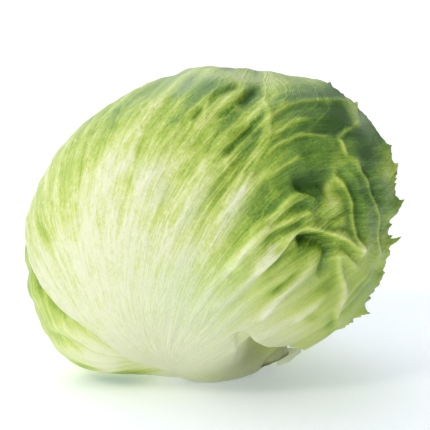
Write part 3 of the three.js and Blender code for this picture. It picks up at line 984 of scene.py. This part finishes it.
def build_leaf_stub():
    """The torn base of a leaf that was broken off, beside the stem."""
    along = np.linspace(1, -1, STUB_ROWS)[:, None]
    turn = np.linspace(0, 2 * math.pi, STUB_COLUMNS, endpoint=False)[None]
    narrow = 0.72 + 0.28 * (1 - along) / 2
    up = np.sign(np.sin(turn)) * np.abs(np.sin(turn)) ** 0.6 * narrow
    torn = TEAR * noise(np.stack([along * 4 + 0 * up, up * 3, 0 * up + 2], -1)) * rise(along, 0.2, 1)
    half_thickness = STUB_THICKNESS / 2 * (1.1 - 0.5 * np.abs(along))
    out = np.cos(turn) * half_thickness + BOW * (1 - up**2)
    x = along * STUB_LENGTH / 2 * (0.75 + 0.35 * up) + torn + 3 * up - 2
    z = up * (STUB_HEIGHT / 2) + 0.25 * torn + 2.2
    places = STUB_MIDDLE + np.stack([x, 0.4 * x - out, z], -1)
    places[..., 2] = np.maximum(places[..., 2], GROUND_CLEARANCE)
    return body("torn_leaf_base", places, {})


# ---- Materials --------------------------------------------------------------------------

def linear(colour):
    """A colour from its sRGB hex code."""
    parts = [int(colour[i : i + 2], 16) / 255 for i in (1, 3, 5)]
    return [c / 12.92 if c <= 0.04045 else ((c + 0.055) / 1.055) ** 2.4 for c in parts] + [1.0]


def node(tree, kind, links=None, **settings):
    """Adds a node with its settings, and its inputs as values or as other nodes' outputs."""
    made = tree.nodes.new("ShaderNode" + kind)
    for key, value in settings.items():
        setattr(made, key, value)
    for key, value in (links or {}).items():
        if isinstance(value, bpy.types.NodeSocket):
            tree.links.new(value, made.inputs[key])
        else:
            made.inputs[key].default_value = value
    return made


def new_material(name):
    material = bpy.data.materials.new(name)
    material.use_nodes = True
    tree = material.node_tree
    tree.nodes.clear()
    return material, tree


def finish_material(tree, links):
    """Ends a material in one shader with the given inputs."""
    shader = node(tree, "BsdfPrincipled", links)
    node(tree, "OutputMaterial", {"Surface": shader.outputs[0]})


def blend(tree, amount, colours):
    """A colour that goes evenly through the given ones as the amount goes from 0 to 1."""
    ramp = node(tree, "ValToRGB", {"Fac": amount})
    elements = ramp.color_ramp.elements
    elements.remove(elements[1])
    for number, colour in enumerate(colours):
        element = elements[0] if number == 0 else elements.new(number / (len(colours) - 1))
        element.color = linear(colour)
    return ramp.outputs["Color"]


# The blade's own colour, and what lies over it in places: a painted whitish sheen, its own fresher
# green where the sheen's amount is below nothing, and a painted olive shadow on its underside.
OUTER_GREENS = ["#fafcd0", "#dbe784", "#b0c94a", "#729838", "#42661e"]
INNER_GREENS = ["#f4f4d6", "#ebf0b4", "#d8e68a", "#b8d164", "#94b84a"]
# The colour of the painted sheen.
PAINTED_SHEEN_COLOUR = "#e2ecdc"
FRESH = "#cceaa6"
# The colour of the painted shadow.
PAINTED_SHADE_COLOUR = "#686a40"
# How many streaks there are to a millimetre, across and along the veins: bands 2 mm wide, fibres
# 0.6 mm wide and hair lines 0.3 mm wide, all many times longer than wide.
BANDS = (0.5, 0.025, 1)
FIBRES = (1.6, 0.035, 1)
HAIRS = (3.6, 0.07, 1)
# The net of small veins has cells about 3 mm wide and 30 mm long, stretched along the veins, and
# finer ones in them, 4.5 to each cell's width.
VEIN_NET = (0.3, 0.032, 1)
FINER_NET = 4.5


def leaf_blade_material(name, greens):
    """Fresh lettuce blade: a wax skin gives it a soft sheen with small sharper glints, and it is
    thin and wet enough inside to glow a little. Its veins are paler, with fine streaks along."""
    material, tree = new_material(name)

    def add(kind, links, **settings):
        return node(tree, kind, links, **settings).outputs[0]

    layer = {
        key: node(tree, "Attribute", attribute_name=key)
        for key in ("green", "rib", "flow", "curl", "curls", "streaky", "painted_shade", "painted_sheen_and_fresh")
    }
    green, rib, curls, streaky, painted_shade, painted_sheen_and_fresh = (
        layer[key].outputs["Fac"] for key in ("green", "rib", "curls", "streaky", "painted_shade", "painted_sheen_and_fresh")
    )
    flow, curl = layer["flow"].outputs["Vector"], layer["curl"].outputs["Vector"]
    place = node(tree, "TexCoord").outputs["Object"]

    def streaks(scale):
        both = []
        for veins in (flow, curl):
            where = add("Mapping", {"Vector": veins, "Scale": scale})
            pattern = {"Vector": where, "Scale": 1, "Detail": 4, "Roughness": 0.7}
            both.append(add("TexNoise", pattern))
        return add("MixRGB", {0: curls, 1: both[0], 2: both[1]})

    bands, fibres, hairs = streaks(BANDS), streaks(FIBRES), streaks(HAIRS)
    # Metres here: the net bends every 8 mm, the wax is crinkled every 1.5 mm and blotched every
    # 9 mm.
    bent = add("TexNoise", {"Vector": place, "Scale": 120, "Detail": 2})
    crinkle = add("TexNoise", {"Vector": place, "Scale": 650, "Detail": 3, "Roughness": 0.65})
    blotches = add("TexNoise", {"Vector": place, "Scale": 110, "Detail": 3, "Roughness": 0.6})
    net = add("Mapping", {"Vector": flow, "Scale": VEIN_NET})
    warped = add("MixRGB", {0: 0.14, 1: net, 2: bent}, blend_type="LINEAR_LIGHT")
    nets = []
    for cells, width in ((1, 0.1), (FINER_NET, 0.2)):
        pattern = {"Vector": warped, "Scale": cells}
        away = add("TexVoronoi", pattern, feature="DISTANCE_TO_EDGE")
        limits = {"Value": away, "From Min": 0.0, "From Max": width, "To Min": 1.0, "To Max": 0.0}
        nets.append(add("MapRange", limits, interpolation_type="SMOOTHSTEP"))
    vein, veinlet = nets

    def weighted(patterns, total):
        for pattern, weight in patterns:
            sum_so_far = {0: pattern, 1: weight, 2: total}
            total = add("Math", sum_so_far, operation="MULTIPLY_ADD")
        return total

    weights = ((bands, 0.6), (fibres, 0.6), (hairs, 0.5), (blotches, 0.4), (crinkle, 0.4))
    # Each pattern is one half on average.
    middle = -sum(weight for _, weight in weights) / 2
    uneven = weighted((*weights, (vein, -0.1), (veinlet, -0.04)), middle)
    paler = weighted([(rib, -0.5)], 1.0)
    base = weighted([(green, paler)], 0.02)
    colour = blend(tree, weighted([(uneven, streaky)], base), greens)
    fresh = weighted([(painted_sheen_and_fresh, -1.0)], 0.0)
    painted_sheen = weighted([(painted_sheen_and_fresh, blotches)], 0.0)
    # The fresher green is the blade's own colour; the other two are painted sheen and painted shadow.
    for amount, over in ((fresh, FRESH), (painted_sheen, PAINTED_SHEEN_COLOUR), (painted_shade, PAINTED_SHADE_COLOUR)):
        colour = add("MixRGB", {0: amount, 1: colour, 2: linear(over)})

    heights = ((vein, 0.8), (fibres, 1.4), (hairs, 1.1), (crinkle, 1.3), (veinlet, 0.4))
    height = weighted(heights, 0.0)
    bump = add("Bump", {"Height": height, "Strength": 0.6, "Distance": 0.0007})
    wax = add("Bump", {"Height": crinkle, "Strength": 0.8, "Distance": 0.0006})
    finish_material(
        tree,
        {
            "Base Color": colour,
            "Roughness": 0.4,
            "IOR": 1.42,
            "Specular IOR Level": 0.25,
            "Normal": bump,
            "Coat Weight": 0.25,
            "Coat Roughness": 0.2,
            "Coat IOR": 1.5,
            "Coat Normal": wax,
            "Subsurface Weight": 0.25,
            "Subsurface Radius": (1.0, 1.2, 0.35),
            "Subsurface Scale": 0.002,
        },
    )
    return material


def grain_and_bump(tree, scale, depth):
    """A grain with so many bumps to a metre each way, and its relief, as deep as given in metres."""
    place = node(tree, "TexCoord").outputs["Object"]
    where = node(tree, "Mapping", {"Vector": place, "Scale": scale}).outputs[0]
    grain = node(tree, "TexNoise", {"Vector": where, "Scale": 1, "Detail": 4}).outputs[0]
    relief = {"Height": grain, "Strength": 0.5, "Distance": depth}
    return grain, node(tree, "Bump", relief).outputs[0]


def heart_material():
    """Young leaves that have had no light: cream with a yellow cast, soft and moist, mottled
    every 11 mm."""
    material, tree = new_material("heart_leaf")
    mottle, bump = grain_and_bump(tree, (90, 90, 90), 0.001)
    green = node(tree, "Attribute", attribute_name="green").outputs["Fac"]
    sum_of = {0: mottle, 1: 0.5, 2: green}
    amount = node(tree, "Math", sum_of, operation="MULTIPLY_ADD").outputs[0]
    colour = blend(tree, amount, ["#f6f4d8", "#d9e07e"])
    links = {"Base Color": colour, "Roughness": 0.4, "Normal": bump, "Subsurface Weight": 0.3}
    finish_material(tree, links)
    return material


def torn_leaf_material():
    """Thick leaf base, nearly white and translucent, with wet torn fibres 1 mm high and 7 mm long."""
    material, tree = new_material("torn_leaf_base")
    fibres, bump = grain_and_bump(tree, (150, 150, 1100), 0.0005)
    colour = blend(tree, fibres, ["#e6ecb0", "#fbfbdc"])
    links = {"Base Color": colour, "Roughness": 0.4, "Normal": bump, "Subsurface Weight": 0.4}
    finish_material(tree, links)
    return material


def stem_material():
    """Cut lettuce stem: moist off-white flesh with strings 1 mm wide and 11 mm long, browned
    where it was cut and dried. Its flesh is coloured a darker khaki olive as painted shade, because it
    lies under the head."""
    material, tree = new_material("cut_stem_flesh")
    grain, bump = grain_and_bump(tree, (900, 900, 90), 0.0006)
    brown = node(tree, "Attribute", attribute_name="brown").outputs["Fac"]
    sum_of = {0: grain, 1: 0.6, 2: brown}
    stain = node(tree, "Math", sum_of, operation="MULTIPLY_ADD").outputs[0]
    limits = {"Value": stain, "From Min": 0.45, "From Max": 1.3, "To Min": 0.0, "To Max": 1.0}
    edge = node(tree, "MapRange", limits).outputs[0]
    # Khaki olive flesh colours: painted shade under the head.
    over = {0: edge, 1: blend(tree, grain, ["#b0b280", "#ced0a0"]), 2: linear("#6f6a3c")}
    links = {
        "Base Color": node(tree, "MixRGB", over).outputs[0],
        "Roughness": 0.45,
        "Normal": bump,
        "Subsurface Weight": 0.25,
        "Subsurface Scale": 0.003,
    }
    finish_material(tree, links)
    return material


def floor_material():
    """White paper, smooth and matt, that gives back a little cool light of its own like a lit
    backdrop."""
    material, tree = new_material("white_floor")
    links = {"Base Color": linear("#fafafa"), "Roughness": 0.6}
    finish_material(tree, {**links, "Emission Color": linear("#e4eeff"), "Emission Strength": 0.3})
    return material


# ---- Pieces -----------------------------------------------------------------------------

outer_blade = leaf_blade_material("outer_leaf_blade", OUTER_GREENS)
inner_blade = leaf_blade_material("inner_leaf_blade", INNER_GREENS)

for number, leaf in enumerate(LEAVES):
    piece = build_leaf(leaf, number)
    is_outer = number < len(OUTER)
    piece.data.materials.append(outer_blade if is_outer else inner_blade)
    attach(piece, "root")
    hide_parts(leaf.name)

for piece, node_name, slot_name, material in (
    (build_heart(), "heart", "heart_leaves", heart_material()),
    (build_stem(), "stem", "cut_stem", stem_material()),
    (build_leaf_stub(), "leaf_stub", "cut_stem", torn_leaf_material()),
):
    piece.data.materials.append(material)
    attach(piece, "root")
    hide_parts(node_name)

# ---- Studio -----------------------------------------------------------------------------

SENSOR = 36.0
CAMERA_SEES_TO = 20
HALF_FLOOR = 3.0


def add_camera():
    data = bpy.data.cameras.new("camera")
    camera = bpy.data.objects.new("camera", data)
    bpy.context.scene.collection.objects.link(camera)
    at = HEAD_CENTRE + VIEW_RIGHT * ACROSS + VIEW_UP * UP_ALONG + CAMERA_AWAY * OUT_OF
    turn = Matrix([ACROSS, UP_ALONG, OUT_OF]).transposed().to_4x4()
    camera.matrix_world = Matrix.Translation(Vector(at * MM)) @ turn
    data.sensor_width = SENSOR
    data.lens = SENSOR * CAMERA_AWAY / VIEW_WIDTH
    data.clip_end = CAMERA_SEES_TO
    bpy.context.scene.camera = camera


def add_floor():
    mesh = bpy.data.meshes.new("floor")
    signs = ((-1, -1), (1, -1), (1, 1), (-1, 1))
    mesh.from_pydata([(x * HALF_FLOOR, y * HALF_FLOOR, 0) for x, y in signs], [], [(0, 1, 2, 3)])
    floor = bpy.data.objects.new("floor", mesh)
    bpy.context.scene.collection.objects.link(floor)
    mesh.materials.append(floor_material())


def add_window_light(name, round_head, up, strength, spread, colour):
    """A broad even light from far off, by where it comes from and how wide it looks in degrees."""
    data = bpy.data.lights.new(name, "SUN")
    data.energy = strength
    data.angle = math.radians(spread)
    data.color = linear(colour)[:3]
    lamp = bpy.data.objects.new(name, data)
    bpy.context.scene.collection.objects.link(lamp)
    lamp.rotation_euler = Vector(facing(round_head, up)).to_track_quat("Z", "Y").to_euler()


def add_world():
    """A white studio: brighter behind the head and overhead, dimmer at its right, and plain white
    where it is seen."""
    world = bpy.data.worlds.new("studio")
    bpy.context.scene.world = world
    world.use_nodes = True
    tree = world.node_tree
    tree.nodes.clear()
    toward = node(tree, "TexCoord").outputs["Generated"]
    parts = node(tree, "SeparateXYZ", {0: toward}).outputs
    # For each axis, from where to where along it the light changes, and from what to what.
    strength = 1.0
    for axis, start, end, before, after in (
        ("Y", -0.2, 0.9, 0.6, 1.5), ("X", -0.1, 0.38, 1.0, 0.3), ("Z", 0.0, 1.0, 0.5, 1.7)
    ):
        limits = {"From Min": start, "From Max": end, "To Min": before, "To Max": after}
        level = node(tree, "MapRange", {"Value": parts[axis], **limits}).outputs[0]
        product = {0: strength, 1: level}
        strength = node(tree, "Math", product, operation="MULTIPLY").outputs[0]
    lit = {"Color": linear("#f5f9ff"), "Strength": strength}
    lit = node(tree, "Background", lit).outputs[0]
    plain = {"Color": linear("#ffffff"), "Strength": 1.0}
    plain = node(tree, "Background", plain).outputs[0]
    seen = node(tree, "LightPath").outputs["Is Camera Ray"]
    both = node(tree, "MixShader", {0: seen, 1: lit, 2: plain}).outputs[0]
    node(tree, "OutputWorld", {"Surface": both})


add_camera()
add_floor()
add_window_light("key_light", -46, 40, 0.6, 14, "#fffdfa")
add_window_light("front_window", -24, 2, 0.95, 26, "#fbfdff")
add_world()
bpy.context.scene.view_settings.view_transform = "Standard"
